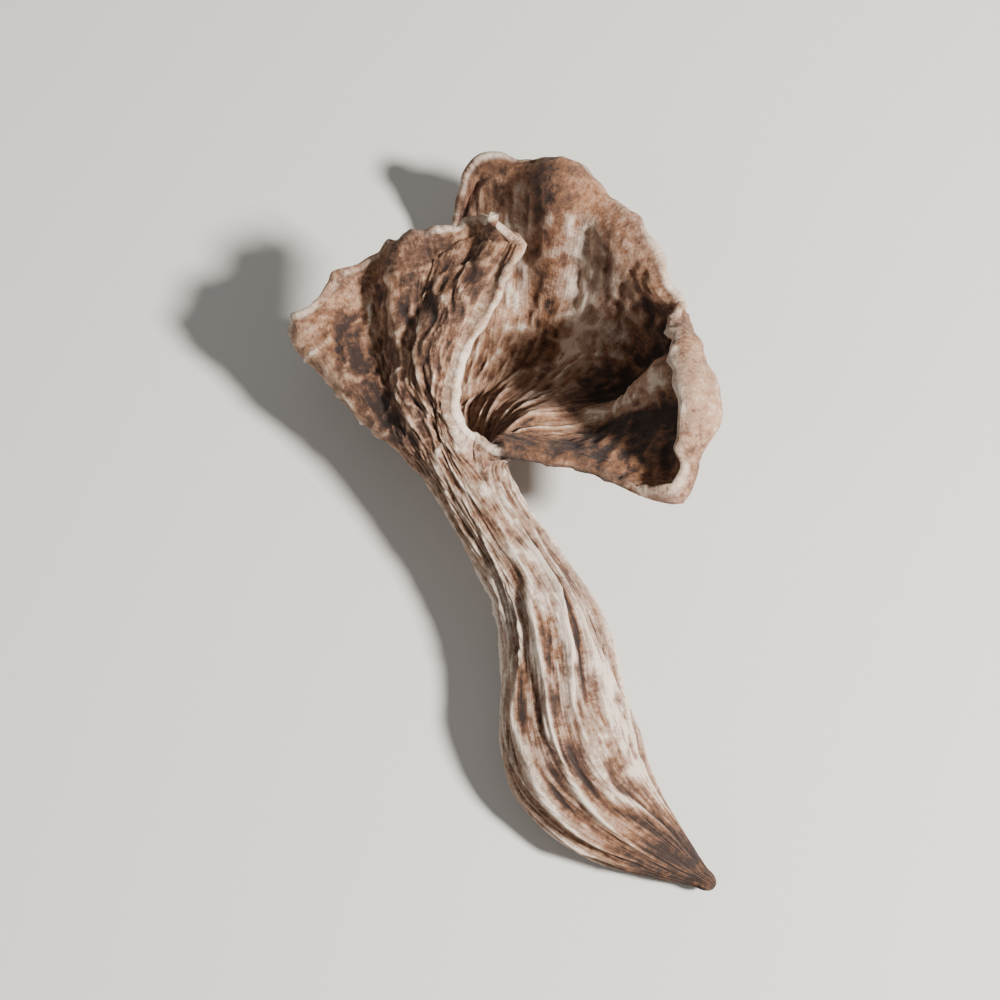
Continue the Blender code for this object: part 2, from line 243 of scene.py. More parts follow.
def funnel_rings(u, rows):
    """The funnel from the throat to its margin, sampled from a coarse cage that has been relaxed."""
    marks = np.array([(share, *waist, *edge) for share, waist, edge in FUNNEL])
    cage_u = np.linspace(0.0, 1.0, CAGE_COLUMNS + 1)
    values = through_points(marks[:, 0], marks[:, 1:], cage_u)
    waist, edge = values[:, :3], values[:, 3:]
    below, throat = stem_rings(cage_u, 2 * CAGE_ROWS)[-2:]
    reach = np.linalg.norm(waist - throat, axis=1, keepdims=True)
    rise = unit(throat - below)
    spread = SPLIT_SPREAD * np.exp(-((np.minimum(cage_u, 1 - cage_u) / SPLIT_REACH) ** 2))[:, None]
    first = unit(rise + spread * unit(across(waist - throat, rise))) * (THROAT_RISE + 0.7 * reach)
    middle = (edge - throat) / 2
    last = (edge - waist) * 1.5 - middle / 2
    steps = np.linspace(0.0, 2.0, CAGE_ROWS + 1)[:, None, None]
    lower = between(throat, waist, first, middle, np.minimum(steps, 1.0))
    upper = between(waist, edge, middle, last, np.maximum(steps - 1.0, 0.0))
    cage = np.where(steps <= 1.0, lower, upper)
    ease = smooth_step(np.minimum(cage_u, 1 - cage_u), 0.0, 0.12)[None, :, None]
    ease = 0.5 * ease * smooth_step(steps, 0.0, 0.8) * smooth_step(2.0 - steps, 0.0, 0.5)
    for _ in range(RELAX_STEPS):
        neighbours = cage[1:-1, :-2] + cage[1:-1, 2:] + cage[:-2, 1:-1] + cage[2:, 1:-1]
        cage[1:-1, 1:-1] += ease[1:-1, 1:-1] * (neighbours / 4 - cage[1:-1, 1:-1])
    columns = through_points(cage_u, cage.transpose(1, 0, 2), u).transpose(1, 0, 2)
    return through_points(np.linspace(0.0, 1.0, CAGE_ROWS + 1), columns, np.linspace(0.0, 1.0, rows + 1))


class Sheet:
    """The mid-surface as points and triangles, with each point's place round (u) and along (v) the tube.

    The first rows by columns + 1 points are the stem and the funnel. The rest is the lip, ring by ring.
    """

    def __init__(self, columns, stem_rows, funnel_rows, lip_rows):
        u = np.linspace(0.0, 1.0, columns + 1)
        funnel = funnel_rings(u, funnel_rows)
        grid = np.concatenate([stem_rings(u, stem_rows), funnel[1:]])
        split, margin = stem_rows - 1, len(grid) - 1
        for _ in range(EASE_STEPS):
            beside = grid[split - 3 : split + 2] + grid[split - 1 : split + 4]
            grid[split - 2 : split + 3] += 0.5 * (beside / 2 - grid[split - 2 : split + 3])
        grid[: split + 1, [0, -1]] = grid[: split + 1, [0, -1]].mean(axis=1, keepdims=True)
        seam = 0.5 * np.exp(-((np.minimum(u, 1 - u)[:-1] / SEAM_REACH) ** 2))[None, :, None]
        for _ in range(SEAM_STEPS):
            rings = grid[split - 3 : split + 1, :-1]
            rings += seam * (np.roll(rings, 1, axis=1) / 2 + np.roll(rings, -1, axis=1) / 2 - rings)
            grid[split - 3 : split + 1, -1] = rings[:, 0]
        self.ids = np.arange(grid.shape[0] * grid.shape[1]).reshape(grid.shape[:2])
        self.ids[: split + 1, -1] = self.ids[: split + 1, 0]
        stem_v = np.linspace(0.0, THROAT_SHARE, stem_rows)
        funnel_v = np.linspace(THROAT_SHARE, MARGIN_SHARE, funnel_rows + 1)[1:]
        v = np.concatenate([stem_v, funnel_v])
        self.points = grid.reshape(-1, 3)
        self.u = np.broadcast_to(u, self.ids.shape).ravel()
        self.v = np.broadcast_to(v[:, None], self.ids.shape).ravel()
        self.faces = [strip(a, b) for a, b in zip(self.ids[:-1], self.ids[1:])]

        rise = np.arange(split, margin)
        edge = free_edge(self.ids, split)
        within = np.concatenate([self.ids[rise, 1], self.ids[margin - 1], self.ids[rise[:0:-1], -2]])
        within[0] = self.ids[split - 1, 0]
        share = (rise - split) / (margin - split)
        place = np.concatenate([share, 1.0 + u, 3.0 - share[:0:-1]])
        self.add_lip(edge, within, place, lip_rows)

    def add_lip(self, edge, within, place, lip_rows):
        """Rings that carry the sheet past its free edge and roll it out, or in for a negative angle."""
        marks = np.array(LIP)
        values = through_points(marks[:, 0], marks[:, 1:], place, period=3.0)
        length, roll = values[:, :1], np.radians(values[:, 1:])
        web = 0.5 * np.exp(-((np.minimum(place, 3.0 - place) / WEB_REACH) ** 2))[:, None]
        roll = np.where(np.abs(roll) < 1e-3, 1e-3, roll)
        start = self.points[edge]
        tangent = unit(np.roll(start, -1, axis=0) - np.roll(start, 1, axis=0))
        heading = unit(start - self.points[within])
        for _ in range(3):
            heading = unit(np.roll(heading, 1, axis=0) + 2 * heading + np.roll(heading, -1, axis=0))
        heading = unit(across(heading, tangent))
        side = np.cross(heading, tangent)
        ring = edge
        for k in range(1, lip_rows + 1):
            share = k / lip_rows
            bend = roll * share
            points = start + (np.sin(bend) * heading + (1 - np.cos(bend)) * side) * length / roll
            for _ in range(WEB_STEPS * k):
                points += web * (np.roll(points, 1, axis=0) / 2 + np.roll(points, -1, axis=0) / 2 - points)
            last = self.points[ring]
            fresh = len(self.points) + np.arange(len(edge))
            self.points = np.concatenate([self.points, points])
            self.u = np.concatenate([self.u, self.u[edge]])
            past = share * (1.0 - MARGIN_SHARE) * smooth_step(self.v[edge], MARGIN_SHARE - 0.1, MARGIN_SHARE)
            self.v = np.concatenate([self.v, self.v[edge] + past])
            self.faces.append(strip(np.append(ring, ring[0]), np.append(fresh, fresh[0])))
            ring = fresh
        self.rim = ring
        self.rim_out = unit(points - last)
        self.faces = np.concatenate(self.faces)

    def normals(self):
        a, b, c = (self.points[self.faces[:, k]] for k in range(3))
        weighted = np.cross(b - a, c - a)
        total = np.zeros_like(self.points)
        for k in range(3):
            np.add.at(total, self.faces[:, k], weighted)
        return total / np.maximum(np.linalg.norm(total, axis=1, keepdims=True), 1e-12)


def free_edge(ids, split):
    """Point numbers up the near side of the split, round the margin and down the low side."""
    rise = np.arange(split, len(ids) - 1)
    return np.concatenate([ids[rise, 0], ids[-1], ids[rise[:0:-1], -1]])


def strip(lower, upper):
    """Triangles between two rows of point numbers, facing out, each square split the same way."""
    a, b, c, d = lower[:-1], lower[1:], upper[1:], upper[:-1]
    return np.concatenate([np.stack([a, d, c], axis=1), np.stack([a, c, b], axis=1)])


def waves(u, v, seed, bands):
    """Smooth random relief, closed round the tube. Each band is a count round, a count along and a height."""
    draw = np.random.default_rng(seed)
    total = 0.0
    for around, along, height in bands:
        for turn in (-1, 1):
            phase = draw.uniform(0.0, 2 * math.pi)
            total = total + height * np.cos(2 * math.pi * (turn * around * u + along * v) + phase)
    return total


def creases(u, v):
    """Height of the named creases, each a soft ridge or furrow along a line."""
    total = np.zeros_like(u)
    for start_u, start_v, end_u, end_v, half_width, height in CREASES:
        share = np.clip((v - start_v) / (end_v - start_v), 0.0, 1.0)
        offset = (u - start_u - share * (end_u - start_u)) / half_width
        reach = smooth_step(v, start_v - 0.14, start_v + 0.08)
        reach = reach * (1 - smooth_step(v, end_v - 0.04, end_v + 0.12))
        total += height * np.exp(-(offset**2)) * reach
    return total


def crest(phase):
    """A sharp ridge at each whole number, with a broad rounded furrow between."""
    return 1.0 - np.abs(np.sin(math.pi * phase)) ** 0.8


def above_ground(height):
    """Heights pressed flat at zero, with a soft turn just above it."""
    soft = (height + GROUND_SOFTNESS) ** 2 / (4 * GROUND_SOFTNESS)
    return np.where(height > GROUND_SOFTNESS, height, np.where(height < -GROUND_SOFTNESS, 0.0, soft))


def rib_warp(u, v):
    """How far the ribs stray from straight lines, in ribs."""
    return waves(u, v, CRUMPLE_SEED + 2, ((1, 0.6, 0.16), (2, 1.0, 0.10), (3, 2.6, 0.13), (5, 4.1, 0.07)))


def rib_room(u, v):
    """Where the solid's ribs stand, from 0 to 1."""
    room = smooth_step(v, 0.0, 0.12) * (1 - 0.75 * smooth_step(v, 0.45, 0.80))
    room = room * (1 - 0.9 * np.exp(-(((v - THROAT_SHARE) / 0.07) ** 2)))
    from_split = np.minimum(u, 1 - u) / 0.035
    return room * (1 - np.exp(-(from_split**2)) * smooth_step(v, THROAT_SHARE - 0.08, THROAT_SHARE))


def skins(body):
    """Points of the outer skin, with its ribs, and of the inner skin."""
    u, v = body.u, body.v
    normals = body.normals()
    ribs = RIB_HEIGHT * crest(RIB_COUNT * u + RIB_TWIST * v + rib_warp(u, v)) * rib_room(u, v)
    outer = body.points + normals * (WALL / 2 + ribs)[:, None]
    inner = body.points - normals * (WALL / 2)
    outer[:, 2] = np.maximum(outer[:, 2], 0.0)
    return outer, inner


def fruit_body(columns, stem_rows, funnel_rows, lip_rows):
    """The sheet with its crumpling, and the points of its outer and inner skins."""
    body = Sheet(columns, stem_rows, funnel_rows, lip_rows)
    u, v = body.u, body.v
    folds = waves(u, v, CRUMPLE_SEED, ((2, 1.3, 0.3), (3, 2.1, 0.25), (5, 2.7, 0.18)))
    ruffles = waves(u, v, CRUMPLE_SEED + 1, ((9, 0.8, 0.45), (14, 1.1, 0.30)))
    crumple = FOLD_HEIGHT * folds * smooth_step(v, 0.05, 0.40) * (0.4 + 0.6 * smooth_step(v, 0.45, 0.60))
    crumple = crumple + RUFFLE_HEIGHT * ruffles * smooth_step(v, 0.62, 0.95)
    crumple = crumple + creases(u, v)
    crumple = crumple * (1 - 0.9 * np.exp(-((np.minimum(u, 1 - u) / 0.09) ** 2) - ((v - 0.50) / 0.10) ** 2))
    body.points = body.points + body.normals() * crumple[:, None]
    body.points[:, 2] = WALL / 2 + above_ground(body.points[:, 2] - WALL / 2)
    outer, inner = skins(body)
    return body, outer, inner


# How many times finer the shown skin is: along the stem, along the funnel, round the tube and across the lip.
FINE_STEM = 4
FINE_FUNNEL = 5
FINE_ROUND = 4
FINE_LIP = 3

# The rounded foot: how far it stands out, as a share of the solid's first step up the stem, and its rings.
TIP_SHARE = 0.4
TIP_ROWS = 5

# How far the shown rim stands past the last ring of the lip, as a share of the wall.
FINE_BEAD_SHARE = 0.22

# What the wall loses of its thickness up the funnel, and then across the lip.
THIN_FUNNEL = 0.22
THIN_LIP = 0.38

# Relief of the outer skin: forks between the ribs, twigs across them, and fibres up the funnel.
FORK_HEIGHT = 0.17
TWIG_HEIGHT = 0.075
FIBRE_HEIGHT = 0.09

# Relief of the inner skin: veins, and crinkles between them.
VEIN_HEIGHT = 0.18
CRINKLE_HEIGHT = 0.07

# Grains of relief: height, count round, count along and seed. The wanders bend the lines of the relief and
# are shares of the round. The nibbles are counted along the rim, and fade out near the root of the split.
OUTER_WANDER = ((0.022, 7, 9, 31), (0.013, 13, 19, 32), (0.006, 29, 40, 33))
INNER_WANDER = ((0.018, 8, 8, 51), (0.010, 15, 17, 52))
NIBBLES = ((0.22, 60, 1, 51), (0.16, 140, 1, 52))
NIBBLE_STRETCH = 1.3
NIBBLE_FADE = (4, 12)

# The heights in millimetres at which the material's height and crest read 1, and the rim's own reading.
OUTER_FULL, OUTER_PROUD = 0.45, 0.08
INNER_FULL, INNER_PROUD = 0.22, 0.05
RIM_HEIGHT = 0.6

# How often the relief is softened to find what stands proud of it.
SOFTEN_STEPS = 10


def resampled(values, at, axis, period=None):
    """Values along one axis of a grid, read at new places on the smooth curve through them."""
    turned = np.moveaxis(values, axis, 0)
    return np.moveaxis(through_points(np.arange(len(turned)), turned, at, period=period), 0, axis)


class FineSheet:
    """The crumpled sheet sampled finer: its points, faces, rim and places (u, v), as in Sheet.

    It also has the number of each edge point along the coarse rim, and each point's share of the lip.
    """

    def __init__(self, coarse):
        rows, columns = coarse.ids.shape
        split, fine_split = STEM_ROWS - 1, (STEM_ROWS - 1) * FINE_STEM
        along_stem = np.linspace(0, split, fine_split + 1)
        along_funnel = np.linspace(split, rows - 1, (rows - 1 - split) * FINE_FUNNEL + 1)
        around = np.linspace(0, columns - 1, (columns - 1) * FINE_ROUND + 1)
        values = np.column_stack([coarse.points, coarse.u, coarse.v])
        grid = values[coarse.ids]
        grid[:, -1, 3] = 1.0
        tall = resampled(grid, np.concatenate([along_stem, along_funnel[1:]]), 0)
        grid = resampled(tall, around, 1)
        closed = resampled(tall[: fine_split + 1, :-1], around[:-1], 1, period=columns - 1)
        grid[: fine_split + 1, :-1, :3] = closed[:, :, :3]
        grid[: fine_split + 1, -1, :3] = grid[: fine_split + 1, 0, :3]
        grid[:, :, 3] = around / (columns - 1)
        self.columns = len(around) - 1
        self.ids = np.arange(grid.shape[0] * grid.shape[1]).reshape(grid.shape[:2])
        self.ids[: fine_split + 1, -1] = self.ids[: fine_split + 1, 0]
        flat = grid.reshape(-1, 5)

        edge, coarse_edge = free_edge(self.ids, fine_split), free_edge(coarse.ids, split)
        side = np.arange(len(self.ids) - 1 - fine_split) / FINE_FUNNEL
        self.place = np.concatenate([side, FUNNEL_ROWS + around, FUNNEL_ROWS + columns - 1 + side[1:]])
        past = values[rows * columns :].reshape(LIP_ROWS, len(coarse_edge), 5) - values[coarse_edge]
        past = np.concatenate([np.zeros_like(past[:1]), past])
        steps = np.linspace(0, LIP_ROWS, LIP_ROWS * FINE_LIP + 1)[1:]
        past = resampled(resampled(past, self.place, 1, period=len(coarse_edge)), steps, 0)
        past[:, :, 3] = 0.0
        lip = flat[edge] + past
        everything = np.concatenate([flat, lip.reshape(-1, 5)])
        self.points, self.u, self.v = everything[:, :3], everything[:, 3], everything[:, 4]
        self.lip_share = np.concatenate([np.zeros(len(flat)), np.repeat(steps / LIP_ROWS, len(edge))])

        rings = [edge, *(len(flat) + np.arange(len(steps) * len(edge)).reshape(len(steps), -1))]
        rings = [np.append(ring, ring[0]) for ring in rings]
        sheets = [*zip(self.ids[:-1], self.ids[1:]), *zip(rings[:-1], rings[1:])]
        self.faces = np.concatenate([strip(lower, upper) for lower, upper in sheets])
        self.rim = rings[-1][:-1]
        self.rim_out = unit(self.points[self.rim] - self.points[rings[-2][:-1]])

    normals = Sheet.normals


def grain(u, v, around, along, seed):
    """Smooth random relief from -1 to 1 with the given number of grains round and along the tube."""
    lattice = np.random.default_rng(seed).uniform(-1.0, 1.0, (along + 2, around))
    x, y = (u % 1.0) * around, np.clip(v, 0.0, 1.0) * along
    i, j = np.floor(x).astype(int), np.floor(y).astype(int)
    s, t = x - i, y - j
    s, t = s * s * (3 - 2 * s), t * t * (3 - 2 * t)
    i, k = i % around, (i + 1) % around
    low = lattice[j, i] * (1 - s) + lattice[j, k] * s
    high = lattice[j + 1, i] * (1 - s) + lattice[j + 1, k] * s
    return low * (1 - t) + high * t


def grains(u, v, table):
    """The sum of the grains in a table."""
    return sum(height * grain(u, v, around, along, seed) for height, around, along, seed in table)


def ridges(value):
    """Sharp crests where a smooth random value changes sign, from 0 to 1."""
    return 1.0 - np.minimum(1.0, np.abs(value) * 2.2)


def outer_relief(u, v):
    """Height of the outer skin's ribs, wrinkles and fibres."""
    wander = grains(u, v, OUTER_WANDER)
    stem = 1 - smooth_step(v, 0.46, 0.64)
    ribs = crest(RIB_COUNT * (u + wander) + RIB_TWIST * v + rib_warp(u, v))
    height = RIB_HEIGHT * (ribs * (0.72 + 0.45 * grain(u, v, 9, 12, 34))) * rib_room(u, v)
    forks = ridges(1.3 * grain(u + 1.6 * wander, v + wander, 17, 15, 35)) * smooth_step(v, 0.02, 0.10)
    forks = forks * (0.6 + 0.4 * grain(u, v, 8, 8, 36)) * (0.25 + 0.75 * stem)
    twigs = ridges(1.2 * grain(u + 2.2 * wander, v + 1.5 * wander, 31, 27, 37)) * smooth_step(v, 0.03, 0.12)
    fibres = ridges(grain(u + wander, v, 52, 11, 38)) * (0.6 + 0.4 * grain(u, v, 11, 8, 39)) * (1 - stem)
    height = height + FORK_HEIGHT * forks + TWIG_HEIGHT * twigs + FIBRE_HEIGHT * fibres
    return height + 0.040 * grain(u + wander, v, 120, 34, 40) + 0.028 * grain(u, v, 165, 90, 41)


def inner_relief(u, v):
    """Height of the inner skin's veins and crinkles."""
    wander = grains(u, v, INNER_WANDER)
    veins = ridges(1.2 * grain(u + wander, v, 22, 9, 53)) * (0.55 + 0.45 * grain(u, v, 7, 6, 54))
    veins = veins * (1 - 0.5 * smooth_step(v, 0.58, 0.78))
    crinkles = ridges(grain(u + 2 * wander, v + 1.2 * wander, 38, 30, 55))
    height = VEIN_HEIGHT * veins + CRINKLE_HEIGHT * crinkles
    height = height + grains(u, v, ((0.045, 110, 50, 56), (0.030, 165, 95, 57)))
    return height * smooth_step(v, 0.40, 0.55)


# Strokes of tone, most of them painted shade and painted highlight: start (u, v), end (u, v), half width as a
# share of the round, and tone, paler where positive. Each fades in and out over the same way along the tube.
STROKE_FADE = 0.04
OUTER_PAINTED_LIGHT_AND_TINTS = (
    # the pale near lip, from the throat to the apex
    (0.000, 0.48, 0.000, 0.86, 0.010, 0.50),
    # painted shade in the flap's furrow, a painted highlight on the fold below it, and painted highlight on
    # the flap's top above the furrow
    (0.238, 0.52, 0.256, 0.86, 0.017, -0.40),
    (0.292, 0.56, 0.296, 0.97, 0.026, 0.30),
    (0.214, 0.80, 0.228, 0.97, 0.022, 0.22),
    (0.100, 0.82, 0.200, 0.86, 0.060, 0.10),
    # a painted highlight on the back of the hook, and painted shade on the low side of the split
    (0.890, 0.78, 0.960, 1.02, 0.050, 0.32),
    (0.995, 0.52, 0.990, 0.84, 0.024, -0.45),
    # a painted highlight on the stem's lit side low down, painted shade in its furrows, and a painted
    # highlight on its ridge
    (0.855, 0.05, 0.880, 0.22, 0.034, 0.60),
    (0.960, 0.22, 0.935, 0.38, 0.012, -0.75),
    (0.030, 0.10, 0.060, 0.30, 0.014, -0.65),
    (0.990, 0.26, 0.970, 0.42, 0.018, 0.55),
    (0.120, 0.12, 0.150, 0.28, 0.014, -0.50),
)
INNER_PAINTED_LIGHT_AND_TINTS = (
    # the pale near lip
    (0.000, 0.50, 0.000, 0.86, 0.009, 0.60),
    # painted shade in the pocket beside the hook, a painted highlight on the fold next to it, and painted
    # shade under the hook
    (0.812, 0.60, 0.832, 0.90, 0.046, -0.75),
    (0.880, 0.60, 0.892, 0.84, 0.026, 0.60),
    (0.930, 0.62, 0.930, 0.98, 0.024, -0.60),
    # painted highlights on the pleats of the far wall, its dark top, and painted shade in the band between
    # the pleats
    (0.700, 0.64, 0.668, 0.86, 0.026, 0.45),
    (0.600, 0.66, 0.570, 0.82, 0.030, 0.32),
    (0.620, 0.86, 0.560, 0.99, 0.100, -0.30),
    (0.648, 0.66, 0.618, 0.90, 0.022, -0.30),
    # painted shade on the low side of the split
    (0.995, 0.50, 0.985, 0.84, 0.045, -0.45),
    # shade behind the near lip
    (0.030, 0.50, 0.040, 0.62, 0.022, -0.45),
)


def strokes(u, v, table):
    """Tone added by soft strokes along the given lines."""
    total = np.zeros_like(u)
    for start_u, start_v, end_u, end_v, half_width, tone in table:
        share = np.clip((v - start_v) / (end_v - start_v), 0.0, 1.0)
        offset = u - start_u - share * (end_u - start_u)
        offset = np.where(v < THROAT_SHARE, (offset + 0.5) % 1.0 - 0.5, offset)
        reach = smooth_step(v, start_v - STROKE_FADE, start_v + STROKE_FADE)
        reach = reach * (1 - smooth_step(v, end_v - STROKE_FADE, end_v + STROKE_FADE))
        total += tone * np.exp(-((offset / half_width) ** 2)) * reach
    return total


def proud(values, ids):
    """How far each point of the sheet stands above the points round it."""
    grid = values[ids]
    soft = grid.copy()
    for _ in range(SOFTEN_STEPS):
        soft[:, 1:-1] = (soft[:, :-2] + 2 * soft[:, 1:-1] + soft[:, 2:]) / 4
        soft[1:-1] = (soft[:-2] + 2 * soft[1:-1] + soft[2:]) / 4
    found = np.zeros(len(values))
    found[ids] = grid - soft
    return found


def nibble_rim(body, rim_count):
    """Move the lip in and out along its rim, most at the rim itself."""
    place = body.place / rim_count / NIBBLE_STRETCH
    nibble = grains(place, np.zeros(len(place)), NIBBLES)
    nibble = nibble * smooth_step(np.minimum(body.place, rim_count - body.place), *NIBBLE_FADE)
    outward = np.tile(body.rim_out * nibble[:, None], (LIP_ROWS * FINE_LIP, 1))
    tail = len(body.points) - len(outward)
    body.points[tail:] += outward * body.lip_share[tail:, None] ** 2


def closed_shell(body, outer, inner, step):
    """Both skins closed by a bead round the rim, a rounded foot, and a floor where the stem turns solid.

    The points come as outer skin, inner skin, bead and foot, the last two being its tip and the floor.
    """
    count, rim = len(outer), body.rim
    bead = (outer[rim] + inner[rim]) / 2 + body.rim_out * WALL * FINE_BEAD_SHARE
    ring = outer[body.ids[0, :-1]]
    middle = ring.mean(axis=0)
    turns = np.linspace(0.0, math.pi / 2, TIP_ROWS + 1)[1:-1, None, None]
    cap = middle + (ring - middle) * np.cos(turns) + step * TIP_SHARE * np.sin(turns)
    cap = cap.reshape(-1, 3)
    tip = middle + step * TIP_SHARE
    solid_row = SOLID_ROWS * FINE_STEM
    floor = inner[body.ids[solid_row, :-1]].mean(axis=0)
    points = np.concatenate([outer, inner, bead, cap, tip[None], floor[None]])

    bead_loop, rim_loop = np.append(2 * count + np.arange(len(rim)), 2 * count), np.append(rim, rim[0])
    cap_ids = 2 * count + len(rim) + np.arange(len(cap)).reshape(TIP_ROWS - 1, -1)
    cap_ids = np.concatenate([cap_ids, cap_ids[:, :1]], axis=1)
    floor_loop = body.ids[solid_row] + count
    tip_id, floor_id = np.full((2, body.columns), [[len(points) - 2], [len(points) - 1]])
    solid = (body.faces < body.ids[solid_row, 0]).any(axis=1)
    faces = [
        body.faces,
        body.faces[~solid][:, ::-1] + count,
        strip(rim_loop, bead_loop),
        strip(bead_loop, rim_loop + count),
        *(strip(a, b) for a, b in zip(cap_ids, [body.ids[0], *cap_ids[:-1]])),
        np.stack([tip_id, cap_ids[-1, :-1], cap_ids[-1, 1:]], axis=1),
        np.stack([floor_id, floor_loop[1:], floor_loop[:-1]], axis=1),
    ]
    return points, np.concatenate(faces)


def shown_skin():
    """Points, triangles and the fields that the material reads, for the whole fruit body, centred."""
    coarse, coarse_outer, coarse_inner = fruit_body(COLUMNS, STEM_ROWS, FUNNEL_ROWS, LIP_ROWS)
    body = FineSheet(coarse)
    nibble_rim(body, len(coarse.rim))
    u, v, rim = body.u, body.v, body.rim
    thin = 1 - THIN_FUNNEL * smooth_step(v, 0.55, 0.80) - THIN_LIP * smooth_step(body.lip_share, 0.1, 1.0)
    out_height, in_height = outer_relief(u, v), inner_relief(u, v)
    normals = body.normals()
    outer = body.points + normals * (WALL / 2 * thin + out_height)[:, None]
    inner = body.points - normals * (WALL / 2 * thin + in_height)[:, None]
    outer[:, 2] = np.maximum(outer[:, 2], 0.0)
    first, second = (coarse.points[coarse.ids[row, :-1]].mean(axis=0) for row in (0, 1))
    points, faces = closed_shell(body, outer, inner, first - second)

    def field(on_outer, on_inner, on_bead, on_foot=0.0):
        counts = len(outer), len(inner), len(rim), len(points) - 2 * len(outer) - len(rim)
        values = on_outer, on_inner, on_bead, on_foot
        return np.concatenate([np.broadcast_to(value, n) for value, n in zip(values, counts)])

    outer_painted_light_and_tint = strokes(u, v, OUTER_PAINTED_LIGHT_AND_TINTS)
    foot_round = np.append(np.tile(u[body.ids[0, :-1]], TIP_ROWS - 1), [0.0, 0.0])
    out_crest, in_crest = proud(out_height, body.ids), proud(in_height, body.ids)
    fields = {
        "inside": field(0.0, 1.0, 0.5),
        "height": field(out_height / OUTER_FULL, in_height / INNER_FULL, RIM_HEIGHT),
        "crest": field(out_crest / OUTER_PROUD, in_crest / INNER_PROUD, 0.0),
        "painted_light_and_tint": field(outer_painted_light_and_tint, strokes(u, v, INNER_PAINTED_LIGHT_AND_TINTS), outer_painted_light_and_tint[rim]),
        "along": field(v, v, v[rim]),
        "around": field(u, u, u[rim], foot_round),
        "lip": field(body.lip_share, body.lip_share, 1.0),
    }
    used = np.unique(faces)
    fresh = np.zeros(len(points), int)
    fresh[used] = np.arange(len(used))
    points = points[used] - ground_middle(coarse, coarse_outer, coarse_inner)
    return points, fresh[faces], {name: values[used] for name, values in fields.items()}


def ground_middle(body, outer, inner):
    """The middle of the bottom of the solid's box, which is the part's origin."""
    rim = body.rim
    bead = (outer[rim] + inner[rim]) / 2 + body.rim_out * WALL * BEAD_SHARE
    step = body.points[body.ids[0, 0]] - body.points[body.ids[1, 0]]
    tip = outer[body.ids[0, :-1]].mean(axis=0) + step * TIP_SHARE
    points = np.concatenate([outer[np.unique(body.faces)], inner[body.ids[SOLID_ROWS, 0] :], bead, tip[None]])
    low, high = points.min(axis=0), points.max(axis=0)
    return np.array([(low[0] + high[0]) / 2, (low[1] + high[1]) / 2, low[2]])


class Shader:
    """Short calls for building a node material."""

    def __init__(self, name):
        self.material = bpy.data.materials.new(name)
        self.material.use_nodes = True
        self.tree = self.material.node_tree
        self.principled = self.tree.nodes["Principled BSDF"]

    def put(self, socket, value):
        """Link the socket to another socket, or set it to a constant."""
        if hasattr(value, "is_linked"):
            self.tree.links.new(value, socket)
        else:
            socket.default_value = value

    def field(self, name):
        made = self.tree.nodes.new("ShaderNodeAttribute")
        made.attribute_name = name
        return made.outputs["Fac"]

    def math(self, kind, a, b=0.0):
        made = self.tree.nodes.new("ShaderNodeMath")
        made.operation = kind
        self.put(made.inputs[0], a)
        self.put(made.inputs[1], b)
        return made.outputs[0]

    def total(self, start, *terms):
        """Start plus each value times its weight."""
        for value, weight in terms:
            start = self.math("ADD", self.math("MULTIPLY", value, weight), start)
        return start

    def speckled(self, tone, grains, weights):
        """Tone with each noise, less its middle of a half, added by its weight."""
        return self.total(self.math("SUBTRACT", tone, sum(weights) / 2), *zip(grains, weights))

    def vector(self, x, y, z):
        made = self.tree.nodes.new("ShaderNodeCombineXYZ")
        for socket, value in zip(made.inputs, (x, y, z)):
            self.put(socket, value)
        return made.outputs[0]

    def noise(self, vector, scale, detail, roughness):
        made = self.tree.nodes.new("ShaderNodeTexNoise")
        self.put(made.inputs["Vector"], vector)
        made.inputs["Scale"].default_value = scale
        made.inputs["Detail"].default_value = detail
        made.inputs["Roughness"].default_value = roughness
        return made.outputs["Fac"]

    def ramp(self, value, low, high):
        """From 0 where the value is low to 1 where it is high."""
        made = self.tree.nodes.new("ShaderNodeMapRange")
        made.interpolation_type = "SMOOTHSTEP"
        self.put(made.inputs["Value"], value)
        made.inputs["From Min"].default_value = low
        made.inputs["From Max"].default_value = high
        return made.outputs["Result"]

    def mix(self, share, a, b):
        made = self.tree.nodes.new("ShaderNodeMix")
        made.data_type = "RGBA"
        self.put(made.inputs["Factor"], share)
        self.put(made.inputs["A"], a)
        self.put(made.inputs["B"], b)
        return made.outputs["Result"]


# The flesh's colours, from the darkest to the palest, and a greyer tan. The darkest also serves as painted
# shade, and the palest as dust and painted highlight.
UMBER_AND_SHADE = (0.028, 0.014, 0.010, 1.0)
BROWN = (0.125, 0.060, 0.038, 1.0)
RUST = (0.230, 0.100, 0.046, 1.0)
TAN = (0.385, 0.225, 0.140, 1.0)
TAUPE = (0.385, 0.268, 0.202, 1.0)
DUST_AND_HIGHLIGHT = (0.760, 0.620, 0.505, 1.0)

# Tones over which umber and painted shade turn brown, brown turns tan, and tan turns to dust and painted
# highlight.
OUTER_STEPS = ((-0.42, 0.22), (0.04, 0.46), (0.46, 0.90))
INNER_STEPS = ((-0.30, 0.24), (0.12, 0.55), (0.52, 0.98))

# How much the streaks, specks, blotches and broad patches each add to the tone.
OUTER_GRAINS = (1.0, 1.7, 0.8, 0.4)
INNER_GRAINS = (0.6, 1.5, 0.6, 0.6)

# How close the streaks are round the tube and along it.
FIBRE_SCALE_ROUND, FIBRE_SCALE_ALONG = 6.0, 5.0

# How much of the dust's colour the dusty edge takes.
EDGE_DUST = 0.85


def flesh_colour(s, tone, steps, brown, pale):
    """The colour at a tone: umber and painted shade, brown, pale and then dust and painted highlight as it
    rises through the steps.
    """
    colour = s.mix(s.ramp(tone, *steps[0]), UMBER_AND_SHADE, brown)
    colour = s.mix(s.ramp(tone, *steps[1]), colour, pale)
    return s.mix(s.ramp(tone, *steps[2]), colour, DUST_AND_HIGHLIGHT)


